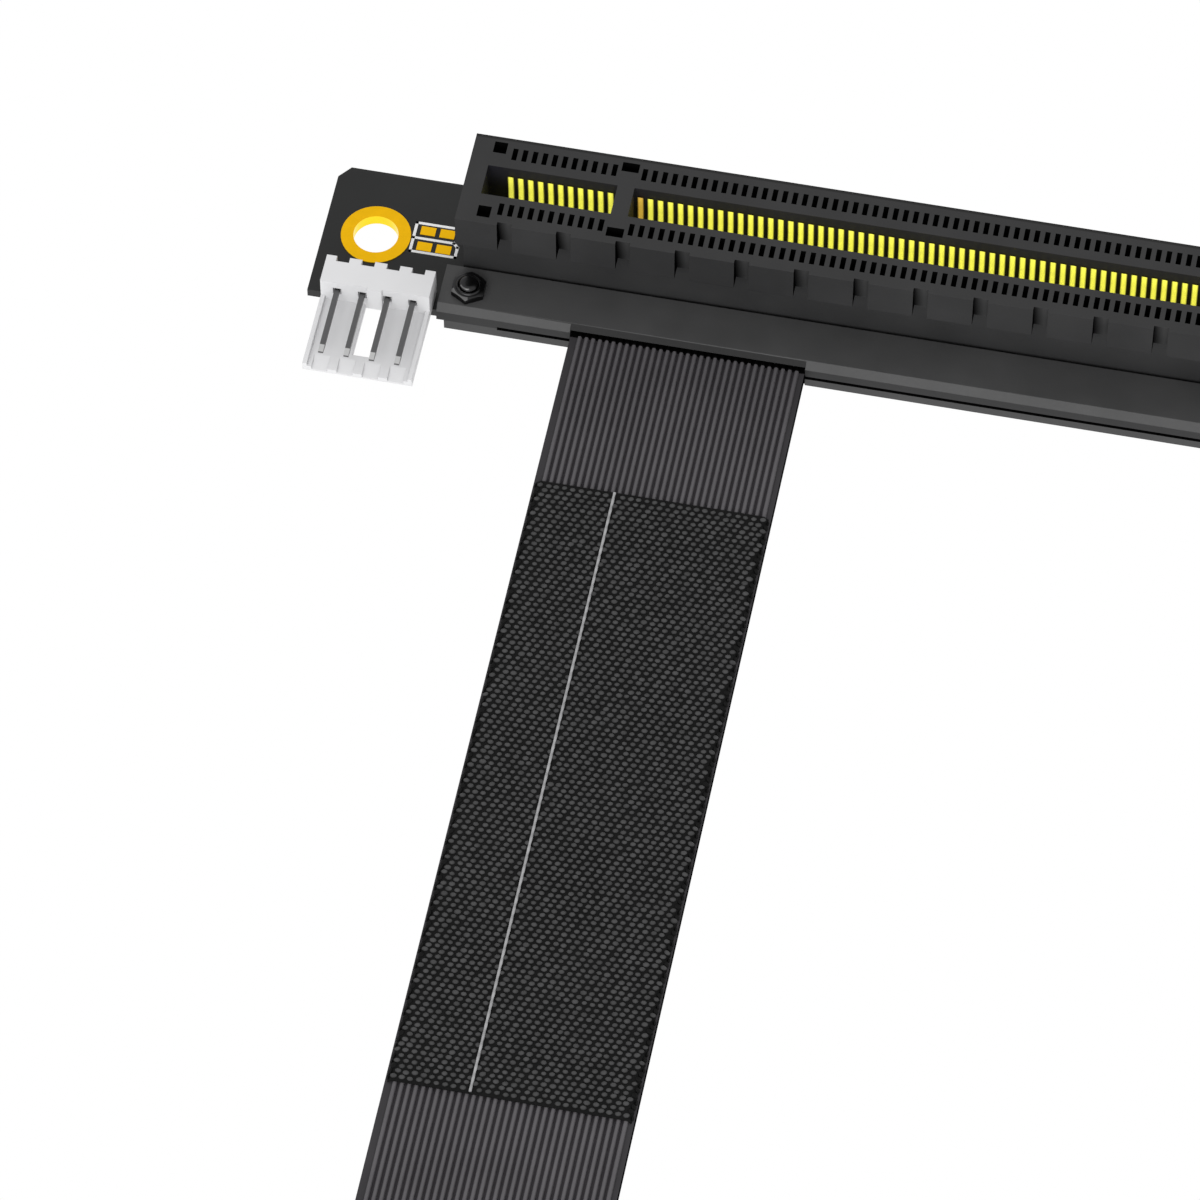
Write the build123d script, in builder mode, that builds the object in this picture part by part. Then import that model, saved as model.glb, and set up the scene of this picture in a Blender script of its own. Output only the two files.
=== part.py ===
from build123d import *
import os

# A riser for a sixteen-lane card slot: a board with the card slot, a flat cable, and a board with
# the matching edge plug. Millimetres. +Z is up, +X runs along the slot and +Y from the plug to the
# slot. The origin is under the middle of the whole part, on the surface that it lies on.

os.makedirs("parts", exist_ok=True)

# The contact layout that every card of this width has
contact_pitch = 1.0
contacts_before_key = 11
contacts_after_key = 71
key_gap = 3.0
key_notch = 1.9
tab_margin = 1.1

# Card slot
slot_width = 10.9
slot_height = 11.25
slot_rim_height = 4.1
slot_foot_width = 6.9
slot_foot_inset = 0.32
end_to_first_contact = 4.2
last_contact_to_end = 2.7
left_wall = 1.9
right_wall = 1.5
key_wall = 1.7
card_opening = 3.55
card_line_shift = 0.12
card_depth = 8.4
rim_chamfer = 0.2

# Openings in the slot's top face
window_length = 1.43
window_width = 0.5
window_offset = 3.44
window_depth = 2.2
side_pocket_depth = 1.2
end_pocket_length = 1.3
end_pocket_width = 1.35
end_pocket_start = 2.0
end_pocket_offset = 4.0
key_pocket_length = 1.7
key_pocket_width = 1.1
key_pocket_offset = 4.05

# Recesses down the slot's front face
recess_width = 1.45
recess_pitch = 5.9
recess_start = 4.2
recess_end_margin = 3.0
recess_top_depth = 0.4
recess_foot_depth = 1.4

# Slot contacts: a tail up the wall, then a blade that leans out of the wall to a thin tip
contact_width = 0.6
contact_thickness = 0.2
contact_reach = 0.36
contact_tip_drop = 0.95
contact_bend_drop = 3.0
contact_slot_width = 0.3

# Slot board
board_thickness = 1.0
slot_setback = 1.7
board_ahead_of_slot = 3.1
left_tab = 14.45
right_tab = 10.5
corner_cut_x = 1.1
corner_cut_y = 1.35
hole_bore = 4.5
hole_land = 7.0
plating = 0.1
hole_to_slot_left = 9.2
hole_to_slot_right = 6.0
hole_from_back = 7.8

# Solder pads beside the slot
pad_length = 1.5
pad_width = 1.05
pad_thickness = 0.05
pad_pitch_x = 1.95
pad_pitch_y = 1.95
pad_to_slot = 3.2
pad_from_back = 7.35

# Clamp covers
clamp_depth = 5.4
clamp_overhang = 1.25
lower_cover_inset = 0.75
cover_wall = 1.45
cover_chamfer = 0.7
lip = 0.72
slit = 0.45
slit_start = 6.1
visor_top_setback = 0.68
visor_foot_setback = 0.24
mouth_height = 0.3
mouth_depth = 1.1
wire_pocket_depth = 4.3
fit_clearance = 0.05

# Clamp screws and nuts
screw_diameter = 1.8
screw_clearance = 0.1
screw_head_diameter = 3.4
screw_head_height = 0.9
screw_beyond_nut = 0.5
screw_end_inset = 2.75
hidden_hole_sides = 12
nut_across_flats = 3.2
nut_height = 0.8

# Flat cable
cable_from_slot_left = 12.25
cable_thickness = 2.0
rib_count = 33
rib_pitch = 0.69
rib_height = 0.22
rib_margin = 0.335
ribbed_length = 17.9
sleeve_length = 68.85
sleeve_wall = 0.15
sleeve_clearance = 0.03
tracer_width = 0.2
tracer_height = 0.06
tracer_share = 0.34
wires_per_strip = 3
wire_width = 0.3
wire_thickness = 0.2
wire_length = 3.3

# Plug board, with the edge that fits a slot
plug_thickness = 1.57
plug_board_margin = 0.3
tongue_length = 8.5
shoulder_length = 2.7
key_notch_depth = 8.0
edge_bevel = 0.45
finger_width = 0.7
finger_length = 5.2
short_finger_length = 3.2
finger_from_tip = 0.75
finger_thickness = 0.05
short_fingers_upper = (1,)
short_fingers_lower = (17, 31, 48, 81)

# Power header
header_width = 11.0
header_to_slot = 7.3
header_block_back = 2.15
header_block_depth = 3.25
header_height = 3.4
header_rib_width = 1.5
header_rib_depth = 0.25
header_floor = 0.6
header_tray_length = 8.45
header_rail_width = 0.45
header_rail_height = 0.4
header_notch_width = 1.3
header_notch_depth = 0.62
header_window_length = 6.3
header_window_width = 1.9
header_ramp_length = 1.6
header_ramp_width = 1.6
header_ramp_drop = 0.4
pin_count = 4
pin_pitch = 2.54
pin_size = 0.5
pin_axis_height = 2.05
pin_reach = 7.6
pin_point = 0.8
pin_pocket_width = 0.85
pin_pocket_depth = 0.4
pin_tail_inset = 0.65
pin_tail_below = 0.9
pin_hole_clearance = 0.05

# Lengths along X
contact_span = (contacts_before_key + contacts_after_key - 2) * contact_pitch + key_gap
slot_length = end_to_first_contact + contact_span + last_contact_to_end
board_length = left_tab + slot_length + right_tab
board_left = -board_length / 2
slot_left = board_left + left_tab
slot_right = slot_left + slot_length
slot_centre = (slot_left + slot_right) / 2
first_contact = slot_left + end_to_first_contact
last_before_key = first_contact + (contacts_before_key - 1) * contact_pitch
first_after_key = last_before_key + key_gap
last_contact = first_contact + contact_span
key_centre = (last_before_key + first_after_key) / 2
contact_x = [first_contact + i * contact_pitch for i in range(contacts_before_key)]
contact_x += [first_after_key + i * contact_pitch for i in range(contacts_after_key)]
clamp_left = slot_left - clamp_overhang
clamp_right = slot_right + clamp_overhang
screw_x = (clamp_left + screw_end_inset, clamp_right - screw_end_inset)
ribbon_width = rib_count * rib_pitch + 2 * rib_margin
cable_left = slot_left + cable_from_slot_left
cable_right = cable_left + ribbon_width
cable_centre = (cable_left + cable_right) / 2
header_centre = slot_left - header_to_slot

# Lengths along Y, from the slot board's back edge to the plug's tip
board_depth = slot_setback + slot_width + board_ahead_of_slot
cable_exposed = 2 * ribbed_length + sleeve_length
plug_depth = clamp_depth + shoulder_length + tongue_length
whole_depth = board_depth + lip + cable_exposed + plug_depth
board_back = whole_depth / 2
board_front = board_back - board_depth
slot_back = board_back - slot_setback
slot_middle = slot_back - slot_width / 2
slot_front = slot_back - slot_width
card_line = slot_middle - card_line_shift
slot_clamp_face = board_front - lip
sleeve_back = slot_clamp_face - ribbed_length
sleeve_front = sleeve_back - sleeve_length
plug_clamp_face = sleeve_front - ribbed_length
plug_board_back = plug_clamp_face - lip
plug_clamp_end = plug_clamp_face - clamp_depth
tongue_back = plug_clamp_end - shoulder_length
plug_tip = tongue_back - tongue_length
slot_screw_y = slot_clamp_face + clamp_depth / 2
plug_screw_y = plug_clamp_face - clamp_depth / 2

# Heights, from the underside of the clamps
board_bottom = cover_wall
board_top = board_bottom + board_thickness
middle = board_bottom + board_thickness / 2
clamp_half = cover_wall + board_thickness / 2
clamp_top = middle + clamp_half
slot_top = board_top + slot_height
rim_bottom = slot_top - slot_rim_height
card_floor = slot_top - card_depth
plug_top = middle + plug_thickness / 2
plug_bottom = middle - plug_thickness / 2


def keep(piece, name):
    """Labels a finished piece and writes its STEP file."""
    piece.part.label = name
    export_step(piece.part, f"parts/{name}.step")


# Board under the slot, with a mounting tab at each end
hole_x = (slot_left - hole_to_slot_left, slot_right + hole_to_slot_right)
hole_y = board_back - hole_from_back
board_hole = hole_bore + 2 * plating
screw_hole = screw_diameter + 2 * screw_clearance
pin_x = [header_centre + (i - (pin_count - 1) / 2) * pin_pitch for i in range(pin_count)]
header_back = board_front + header_block_back
header_block_front = header_back - header_block_depth
header_front = header_block_front - header_tray_length
pin_tail_y = board_front + pin_tail_inset
pin_hole = pin_size + 2 * pin_hole_clearance

with BuildPart() as slot_board:
    with BuildSketch(Plane.XY.offset(board_bottom)):
        with BuildLine():
            Polyline(
                (board_left, board_front),
                (board_left, board_back - corner_cut_y),
                (board_left + corner_cut_x, board_back),
                (board_left + board_length - corner_cut_x, board_back),
                (board_left + board_length, board_back - corner_cut_y),
                (board_left + board_length, board_front),
                close=True,
            )
        make_face()
        with Locations(*[(x, hole_y) for x in hole_x]):
            Circle(board_hole / 2, mode=Mode.SUBTRACT)
        with Locations(*[(x, slot_screw_y) for x in screw_x]):
            RegularPolygon(screw_hole / 2, hidden_hole_sides, mode=Mode.SUBTRACT)
        with Locations(*[(x, pin_tail_y) for x in pin_x]):
            Rectangle(pin_hole, pin_hole, mode=Mode.SUBTRACT)
    extrude(amount=board_thickness)
keep(slot_board, "slot_board")

# Plated lands and barrels of the two mounting holes
with BuildPart() as mounting_hole_plating:
    with BuildSketch(Plane.XY.offset(board_bottom - plating)):
        with Locations(*[(x, hole_y) for x in hole_x]):
            Circle(hole_land / 2)
    extrude(amount=board_thickness + 2 * plating)
    with BuildSketch(Plane.XY.offset(board_bottom)):
        with Locations(*[(x, hole_y) for x in hole_x]):
            Circle(hole_land / 2)
            Circle(board_hole / 2, mode=Mode.SUBTRACT)
    extrude(amount=board_thickness, mode=Mode.SUBTRACT)
    with Locations(*[(x, hole_y, middle) for x in hole_x]):
        Hole(hole_bore / 2)
keep(mounting_hole_plating, "mounting_hole_plating")

# Four solder pads for a link, beside the slot
with BuildPart() as link_pads:
    pads_centre = (slot_left - pad_to_slot, board_back - pad_from_back)
    with BuildSketch(Plane.XY.offset(board_top)):
        with Locations(pads_centre):
            with GridLocations(pad_pitch_x, pad_pitch_y, 2, 2):
                Rectangle(pad_length, pad_width)
    extrude(amount=pad_thickness)
keep(link_pads, "link_pads")

# Moulded slot: a wide rim over a narrower foot, open for the card on top
opening_left = slot_left + left_wall
opening_right = slot_right - right_wall
openings = (
    (opening_left, key_centre - key_wall / 2),
    (key_centre + key_wall / 2, opening_right),
)
recess_room = slot_length - recess_start - recess_end_margin - recess_width
recess_count = int(recess_room / recess_pitch) + 1
tail_rows = (
    card_line + (card_opening - contact_slot_width) / 2,
    card_line - (card_opening - contact_slot_width) / 2,
)
tail_spans = (
    (first_contact - contact_width / 2, last_before_key + contact_width / 2),
    (first_after_key - contact_width / 2, last_contact + contact_width / 2),
)

with BuildPart() as slot_housing:
    with BuildSketch(Plane.XY.offset(board_top)):
        with Locations((slot_centre, slot_middle)):
            Rectangle(slot_length - 2 * slot_foot_inset, slot_foot_width)
    extrude(amount=rim_bottom - board_top)
    with BuildSketch(Plane.XY.offset(rim_bottom)):
        with Locations((slot_centre, slot_middle)):
            Rectangle(slot_length, slot_width)
    extrude(amount=slot_rim_height)
    chamfer(slot_housing.edges().group_by(Axis.Z)[-1].sort_by(Axis.Y)[-1], rim_chamfer)
    with BuildSketch(Plane.XY.offset(slot_top)):
        for low, high in openings:
            with Locations(((low + high) / 2, card_line)):
                Rectangle(high - low, card_opening)
    extrude(amount=-card_depth, mode=Mode.SUBTRACT)
    with BuildSketch(Plane.XY.offset(card_floor)):
        for low, high in tail_spans:
            with Locations(*[((low + high) / 2, y) for y in tail_rows]):
                Rectangle(high - low, contact_slot_width)
    extrude(amount=board_top - card_floor, mode=Mode.SUBTRACT)
    with BuildSketch(Plane.XY.offset(slot_top)):
        for side in (1, -1):
            window_y = slot_middle + side * window_offset
            with Locations(*[(x, window_y) for x in contact_x]):
                Rectangle(window_width, window_length)
    extrude(amount=-window_depth, mode=Mode.SUBTRACT)
    with BuildSketch(Plane.XY.offset(slot_top)):
        for side in (1, -1):
            end_pocket_x = slot_left + end_pocket_start + end_pocket_length / 2
            with Locations((end_pocket_x, slot_middle + side * end_pocket_offset)):
                Rectangle(end_pocket_length, end_pocket_width)
            with Locations((key_centre, slot_middle + side * key_pocket_offset)):
                Rectangle(key_pocket_length, key_pocket_width)
    extrude(amount=-side_pocket_depth, mode=Mode.SUBTRACT)
    for i in range(recess_count):
        with BuildSketch(Plane.YZ.offset(slot_left + recess_start + i * recess_pitch)):
            Polygon(
                (slot_front, slot_top),
                (slot_front + recess_top_depth, slot_top),
                (slot_front + recess_foot_depth, rim_bottom),
                (slot_front, rim_bottom),
                align=None,
            )
    extrude(amount=recess_width, mode=Mode.SUBTRACT)
keep(slot_housing, "slot_housing")


def contact_row(side):
    """One row of spring contacts: side is 1 for the back wall of the opening and -1 for the front."""
    wall = card_line + side * card_opening / 2
    tail = wall - side * contact_thickness
    bend = slot_top - contact_bend_drop
    with BuildPart() as row:
        with BuildSketch(Plane.YZ.offset(first_contact - contact_width / 2)):
            Polygon(
                (wall, board_top),
                (wall, bend),
                (wall - side * contact_reach, slot_top - contact_tip_drop),
                (tail, bend - contact_thickness),
                (tail, board_top),
                align=None,
            )
        extrude(amount=contact_span + contact_width)
        with BuildSketch(Plane.XY.offset(board_top)):
            with Locations(*[(x, wall) for x in contact_x]):
                Rectangle(contact_width, 2 * contact_reach)
        extrude(amount=slot_height, mode=Mode.INTERSECT)
    return row


keep(contact_row(1), "slot_contacts_back")
keep(contact_row(-1), "slot_contacts_front")


def cover_points(points, face, inward, upward):
    """Turns (in from the lip's face, up from the middle plane) into (Y, Z) for one cover."""
    return [(face + inward * u, middle + upward * w) for u, w in points]


def clamp_cover(face, inward, upward, half_board):
    """One half of a clamp. inward is the Y direction from the lip to the board, upward 1 or -1."""
    inset = 0 if upward > 0 else lower_cover_inset
    left = clamp_left + inset
    right = clamp_right - inset
    section = [
        (0, slit / 2),
        (0, clamp_half - cover_chamfer),
        (cover_chamfer, clamp_half),
        (clamp_depth, clamp_half),
        (clamp_depth, half_board),
        (lip, half_board),
        (lip, slit / 2),
    ]
    lip_foot = [(0, 0), (0, slit / 2), (lip, slit / 2), (lip, 0)]
    cable_half = cable_thickness / 2 + fit_clearance
    passage = [
        (0, 0),
        (0, clamp_half),
        (visor_top_setback, clamp_half),
        (visor_foot_setback, cable_half + mouth_height),
        (mouth_depth, cable_half + mouth_height),
        (mouth_depth, cable_half),
        (wire_pocket_depth, cable_half),
        (wire_pocket_depth, 0),
    ]
    foot_spans = (
        (left, clamp_left + slit_start),
        (clamp_right - slit_start, right),
    )
    with BuildPart() as cover:
        with BuildSketch(Plane.YZ.offset(left)):
            Polygon(*cover_points(section, face, inward, upward), align=None)
        extrude(amount=right - left)
        for low, high in foot_spans:
            with BuildSketch(Plane.YZ.offset(low)):
                Polygon(*cover_points(lip_foot, face, inward, upward), align=None)
            extrude(amount=high - low)
        with BuildSketch(Plane.YZ.offset(cable_left - fit_clearance)):
            Polygon(*cover_points(passage, face, inward, upward), align=None)
        extrude(amount=ribbon_width + 2 * fit_clearance, mode=Mode.SUBTRACT)
        screw_y = face + inward * clamp_depth / 2
        with BuildSketch(Plane.XY):
            with Locations(*[(x, screw_y) for x in screw_x]):
                RegularPolygon(screw_hole / 2, hidden_hole_sides)
        extrude(amount=clamp_top, mode=Mode.SUBTRACT)
        if upward < 0:
            with BuildSketch(Plane.XY):
                with Locations(*[(x, screw_y) for x in screw_x]):
                    Circle(screw_head_diameter / 2 + screw_clearance)
            extrude(amount=screw_head_height, mode=Mode.SUBTRACT)
    return cover


slot_half = board_thickness / 2
plug_half = plug_thickness / 2
keep(clamp_cover(slot_clamp_face, 1, 1, slot_half), "slot_clamp_upper_cover")
keep(clamp_cover(slot_clamp_face, 1, -1, slot_half), "slot_clamp_lower_cover")
keep(clamp_cover(plug_clamp_face, -1, 1, plug_half), "plug_clamp_upper_cover")
keep(clamp_cover(plug_clamp_face, -1, -1, plug_half), "plug_clamp_lower_cover")

# Screws from below, with their heads sunk in the lower covers, and a nut on top of each
screw_tip = clamp_top + nut_height + screw_beyond_nut
clamp_rows = {"slot": slot_screw_y, "plug": plug_screw_y}

for end, row_y in clamp_rows.items():
    with BuildPart() as screws:
        with BuildSketch(Plane.XY):
            with Locations(*[(x, row_y) for x in screw_x]):
                Circle(screw_head_diameter / 2)
        extrude(amount=screw_head_height)
        with BuildSketch(Plane.XY):
            with Locations(*[(x, row_y) for x in screw_x]):
                Circle(screw_diameter / 2)
        extrude(amount=screw_tip)
    keep(screws, f"{end}_clamp_screws")

    with BuildPart() as nuts:
        with BuildSketch(Plane.XY.offset(clamp_top)):
            with Locations(*[(x, row_y) for x in screw_x]):
                RegularPolygon(nut_across_flats / 2, 6, major_radius=False, rotation=30)
                RegularPolygon(
                    screw_diameter / 2,
                    hidden_hole_sides,
                    major_radius=False,
                    mode=Mode.SUBTRACT,
                )
        extrude(amount=nut_height)
    keep(nuts, f"{end}_clamp_nuts")

# The cable: two ribbed flat layers, bound together by a woven sleeve along the middle
layer = cable_thickness / 2
rib_valley = layer - rib_height
ribs_left = cable_left + rib_margin
ribs_right = cable_right - rib_margin
ribbed_spans = ((sleeve_back, board_front), (plug_board_back, sleeve_front))


def ribbon_layer(upward):
    """One flat layer: ribs on its outer face, and flat margins where the sleeve doesn't press it."""
    valley = middle + upward * rib_valley
    section = [(ribs_left, middle), (ribs_left, valley)]
    for i in range(rib_count):
        rib_left = ribs_left + i * rib_pitch
        section.append((rib_left + rib_pitch / 2, middle + upward * layer))
        section.append((rib_left + rib_pitch, valley))
    section.append((ribs_right, middle))
    with BuildPart() as ribbon:
        with BuildSketch(Plane.XZ.offset(-board_front)):
            Polygon(*section, align=None)
        extrude(amount=cable_exposed)
        for low, high in ribbed_spans:
            with BuildSketch(Plane.XZ.offset(-high)):
                for edge in (cable_left + rib_margin / 2, cable_right - rib_margin / 2):
                    with Locations((edge, middle + upward * rib_valley / 2)):
                        Rectangle(rib_margin, rib_valley)
            extrude(amount=high - low)
    return ribbon


keep(ribbon_layer(1), "cable_ribbon_upper")
keep(ribbon_layer(-1), "cable_ribbon_lower")

sleeve_inner_width = ribs_right - ribs_left + 2 * sleeve_clearance
sleeve_inner_half = layer + sleeve_clearance
sleeve_width = sleeve_inner_width + 2 * sleeve_wall
sleeve_half = sleeve_inner_half + sleeve_wall
with BuildPart() as cable_sleeve:
    with BuildSketch(Plane.XZ.offset(-sleeve_back)):
        with Locations((cable_centre, middle)):
            Rectangle(sleeve_width, 2 * sleeve_half)
            Rectangle(sleeve_inner_width, 2 * sleeve_inner_half, mode=Mode.SUBTRACT)
    extrude(amount=sleeve_length)
keep(cable_sleeve, "cable_sleeve")

tracer_x = cable_centre + (tracer_share - 0.5) * sleeve_width
with BuildPart() as sleeve_tracer:
    with BuildSketch(Plane.XZ.offset(-sleeve_back)):
        with Locations((tracer_x, middle + sleeve_half + tracer_height / 2)):
            Rectangle(tracer_width, tracer_height)
    extrude(amount=sleeve_length)
keep(sleeve_tracer, "sleeve_tracer")


def wire_row(jacket_end, inward, face_height, upward):
    """The bared wires of one layer, in flat strips of three, which lie on one face of a board."""
    strip_pitch = wires_per_strip * rib_pitch
    strip_width = strip_pitch - rib_pitch + wire_width
    with BuildPart() as wires:
        with BuildSketch(Plane.XY.offset(face_height)):
            for i in range(rib_count // wires_per_strip):
                strip_x = ribs_left + (i + 0.5) * strip_pitch
                with Locations((strip_x, jacket_end + inward * wire_length / 2)):
                    Rectangle(strip_width, wire_length)
        extrude(amount=upward * wire_thickness)
    return wires


keep(wire_row(board_front, 1, board_top, 1), "slot_end_wires_upper")
keep(wire_row(board_front, 1, board_bottom, -1), "slot_end_wires_lower")
keep(wire_row(plug_board_back, -1, plug_top, 1), "plug_end_wires_upper")
keep(wire_row(plug_board_back, -1, plug_bottom, -1), "plug_end_wires_lower")

# Plug board: a shoulder in the clamp and a keyed tongue that fits a slot
tongue_left = first_contact - tab_margin
tongue_right = last_contact + tab_margin
with BuildPart() as plug_board:
    with BuildSketch(Plane.XY.offset(plug_bottom)):
        with BuildLine():
            Polyline(
                (slot_left + plug_board_margin, plug_board_back),
                (slot_right - plug_board_margin, plug_board_back),
                (slot_right - plug_board_margin, tongue_back),
                (tongue_right, tongue_back),
                (tongue_right, plug_tip),
                (tongue_left, plug_tip),
                (tongue_left, tongue_back),
                (slot_left + plug_board_margin, tongue_back),
                close=True,
            )
        make_face()
        with Locations((key_centre, plug_tip + key_notch_depth / 2)):
            Rectangle(key_notch, key_notch_depth, mode=Mode.SUBTRACT)
        with Locations(*[(x, plug_screw_y) for x in screw_x]):
            RegularPolygon(screw_hole / 2, hidden_hole_sides, mode=Mode.SUBTRACT)
    extrude(amount=plug_thickness)
    tip_edges = plug_board.edges().filter_by(Axis.X).group_by(Axis.Y)[0]
    chamfer(tip_edges, edge_bevel)
keep(plug_board, "plug_board")


def finger_row(face_height, upward, short_fingers):
    """The gold fingers on one face of the tongue. The presence fingers start further back."""
    with BuildPart() as fingers:
        finger_back = plug_tip + finger_from_tip + finger_length
        with BuildSketch(Plane.XY.offset(face_height)):
            for number, x in enumerate(contact_x, start=1):
                length = short_finger_length if number in short_fingers else finger_length
                with Locations((x, finger_back - length / 2)):
                    Rectangle(finger_width, length)
        extrude(amount=upward * finger_thickness)
    return fingers


keep(finger_row(plug_top, 1, short_fingers_upper), "plug_fingers_upper")
keep(finger_row(plug_bottom, -1, short_fingers_lower), "plug_fingers_lower")

# Power header: a block on the board and a low tray under the pins
header_left = header_centre - header_width / 2
block_y = (header_back + header_block_front) / 2
tray_y = (header_block_front + header_front) / 2
pin_axis = board_top + pin_axis_height
floor_top = board_top + header_floor
with BuildPart() as power_header_body:
    with BuildSketch(Plane.XY.offset(board_top)):
        with Locations((header_centre, block_y)):
            Rectangle(header_width, header_block_depth)
        with Locations(*[(x, header_back - header_notch_depth / 2) for x in pin_x]):
            Rectangle(header_notch_width, header_notch_depth, mode=Mode.SUBTRACT)
    extrude(amount=header_height)
    with BuildSketch(Plane.XY.offset(board_top)):
        with Locations((header_centre, tray_y)):
            Rectangle(header_width, header_tray_length)
    extrude(amount=header_floor)
    with BuildSketch(Plane.XY.offset(floor_top)):
        for side in (1, -1):
            rail_x = header_centre + side * (header_width - header_rail_width) / 2
            with Locations((rail_x, tray_y)):
                Rectangle(header_rail_width, header_tray_length)
    extrude(amount=header_rail_height)
    with BuildSketch(Plane.XY.offset(floor_top)):
        with Locations((header_centre, header_block_front - header_rib_depth / 2)):
            Rectangle(header_rib_width, header_rib_depth)
    extrude(amount=header_height - header_floor)
    with BuildSketch(Plane.XZ.offset(-header_block_front)):
        with Locations(*[(x, pin_axis) for x in pin_x]):
            Rectangle(pin_pocket_width, pin_pocket_width)
    extrude(amount=-pin_pocket_depth, mode=Mode.SUBTRACT)
    with BuildSketch(Plane.XY.offset(board_top)):
        with Locations((header_centre, header_block_front - header_window_length / 2)):
            Rectangle(header_window_width, header_window_length)
    extrude(amount=header_floor, mode=Mode.SUBTRACT)
    for x in pin_x:
        with BuildSketch(Plane.YZ.offset(x - header_ramp_width / 2)):
            Polygon(
                (header_front, floor_top),
                (header_front + header_ramp_length, floor_top),
                (header_front, floor_top - header_ramp_drop),
                align=None,
            )
    extrude(amount=header_ramp_width, mode=Mode.SUBTRACT)
    for x in pin_x:
        with BuildSketch(Plane.YZ.offset(x - pin_size / 2)):
            Polygon(
                (pin_tail_y - pin_size / 2, board_top),
                (pin_tail_y - pin_size / 2, pin_axis - pin_size / 2),
                (header_block_front, pin_axis - pin_size / 2),
                (header_block_front, pin_axis + pin_size / 2),
                (pin_tail_y + pin_size / 2, pin_axis + pin_size / 2),
                (pin_tail_y + pin_size / 2, board_top),
                align=None,
            )
    extrude(amount=pin_size, mode=Mode.SUBTRACT)
keep(power_header_body, "power_header_body")

pin_tip = header_block_front - pin_reach
with BuildPart() as power_header_pins:
    for x in pin_x:
        with BuildSketch(Plane.YZ.offset(x - pin_size / 2)):
            Polygon(
                (pin_tail_y + pin_size / 2, board_bottom - pin_tail_below),
                (pin_tail_y + pin_size / 2, pin_axis + pin_size / 2),
                (pin_tip + pin_point, pin_axis + pin_size / 2),
                (pin_tip, pin_axis + pin_size / 4),
                (pin_tip, pin_axis - pin_size / 4),
                (pin_tip + pin_point, pin_axis - pin_size / 2),
                (pin_tail_y - pin_size / 2, pin_axis - pin_size / 2),
                (pin_tail_y - pin_size / 2, board_bottom - pin_tail_below),
                align=None,
            )
    extrude(amount=pin_size)
keep(power_header_pins, "power_header_pins")
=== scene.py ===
"""The riser's looks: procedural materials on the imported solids, and meshes for the ribs, the
weave, the fasteners and the printed lines."""

import math

import bpy
import numpy as np
from mathutils import Matrix, Vector


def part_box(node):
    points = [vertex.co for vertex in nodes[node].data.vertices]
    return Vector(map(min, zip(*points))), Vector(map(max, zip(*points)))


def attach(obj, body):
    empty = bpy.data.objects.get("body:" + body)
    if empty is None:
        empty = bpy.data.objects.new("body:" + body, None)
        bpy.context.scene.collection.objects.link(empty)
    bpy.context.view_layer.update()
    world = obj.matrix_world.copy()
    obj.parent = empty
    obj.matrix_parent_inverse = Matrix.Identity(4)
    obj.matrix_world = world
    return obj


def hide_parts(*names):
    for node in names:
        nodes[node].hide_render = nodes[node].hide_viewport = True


MM = 0.001
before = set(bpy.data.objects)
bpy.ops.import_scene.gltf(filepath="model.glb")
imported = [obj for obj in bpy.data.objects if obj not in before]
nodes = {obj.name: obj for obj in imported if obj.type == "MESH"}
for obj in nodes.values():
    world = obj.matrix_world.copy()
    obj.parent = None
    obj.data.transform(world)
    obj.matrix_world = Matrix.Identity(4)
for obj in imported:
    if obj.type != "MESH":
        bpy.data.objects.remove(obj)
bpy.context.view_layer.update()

# Boxes that the other pieces are placed by, in millimetres


def box_mm(node):
    low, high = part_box(node)
    return [v / MM for v in low], [v / MM for v in high]


slot_low, slot_high = box_mm("slot_housing")
board_high = box_mm("slot_board")[1]
ribbon_low, ribbon_high = box_mm("cable_ribbon_upper")
sleeve_low, sleeve_high = box_mm("cable_sleeve")
tracer_low, tracer_high = box_mm("sleeve_tracer")

# Camera: the photo's own view, fitted to the slot's edges and its contact pitch

LENS = 228.42
SENSOR_WIDTH = 36.0
CLIP_START = 0.01
CLIP_END = 10.0
CAMERA_FROM_CORNER = Vector((102.9, -450.4, 594.25))
CAMERA_RIGHT = Vector((0.9808, 0.1952, -0.0021))
CAMERA_UP = Vector((-0.1603, 0.8111, 0.5626))

camera_data = bpy.data.cameras.new("camera")
camera_data.lens = LENS
camera_data.sensor_width = SENSOR_WIDTH
camera_data.clip_start = CLIP_START
camera_data.clip_end = CLIP_END
camera = bpy.data.objects.new("camera", camera_data)
bpy.context.scene.collection.objects.link(camera)
right = CAMERA_RIGHT.normalized()
back = right.cross(CAMERA_UP).normalized()
up = back.cross(right).normalized()
corner = Vector((slot_low[0], board_high[1], slot_high[2]))
place = (corner + CAMERA_FROM_CORNER) * MM
camera.matrix_world = Matrix(
    (
        (right.x, up.x, back.x, place.x),
        (right.y, up.y, back.y, place.y),
        (right.z, up.z, back.z, place.z),
        (0, 0, 0, 1),
    )
)
bpy.context.scene.camera = camera
bpy.context.scene.view_settings.view_transform = "Standard"

# Light: an even white room, and a softbox in front that the sloped edges mirror

WHITE = (1, 1, 1, 1)
ROOM_BRIGHTNESS = 0.85
SOFTBOX_PLACE = Vector((-0.1, -0.78, 0.52))
SOFTBOX_SIZE = (0.8, 0.4)
SOFTBOX_POWER = 4.6

world = bpy.data.worlds.new("studio")
world.use_nodes = True
room = world.node_tree.nodes["Background"]
room.inputs["Color"].default_value = WHITE
room.inputs["Strength"].default_value = ROOM_BRIGHTNESS
bpy.context.scene.world = world

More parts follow.
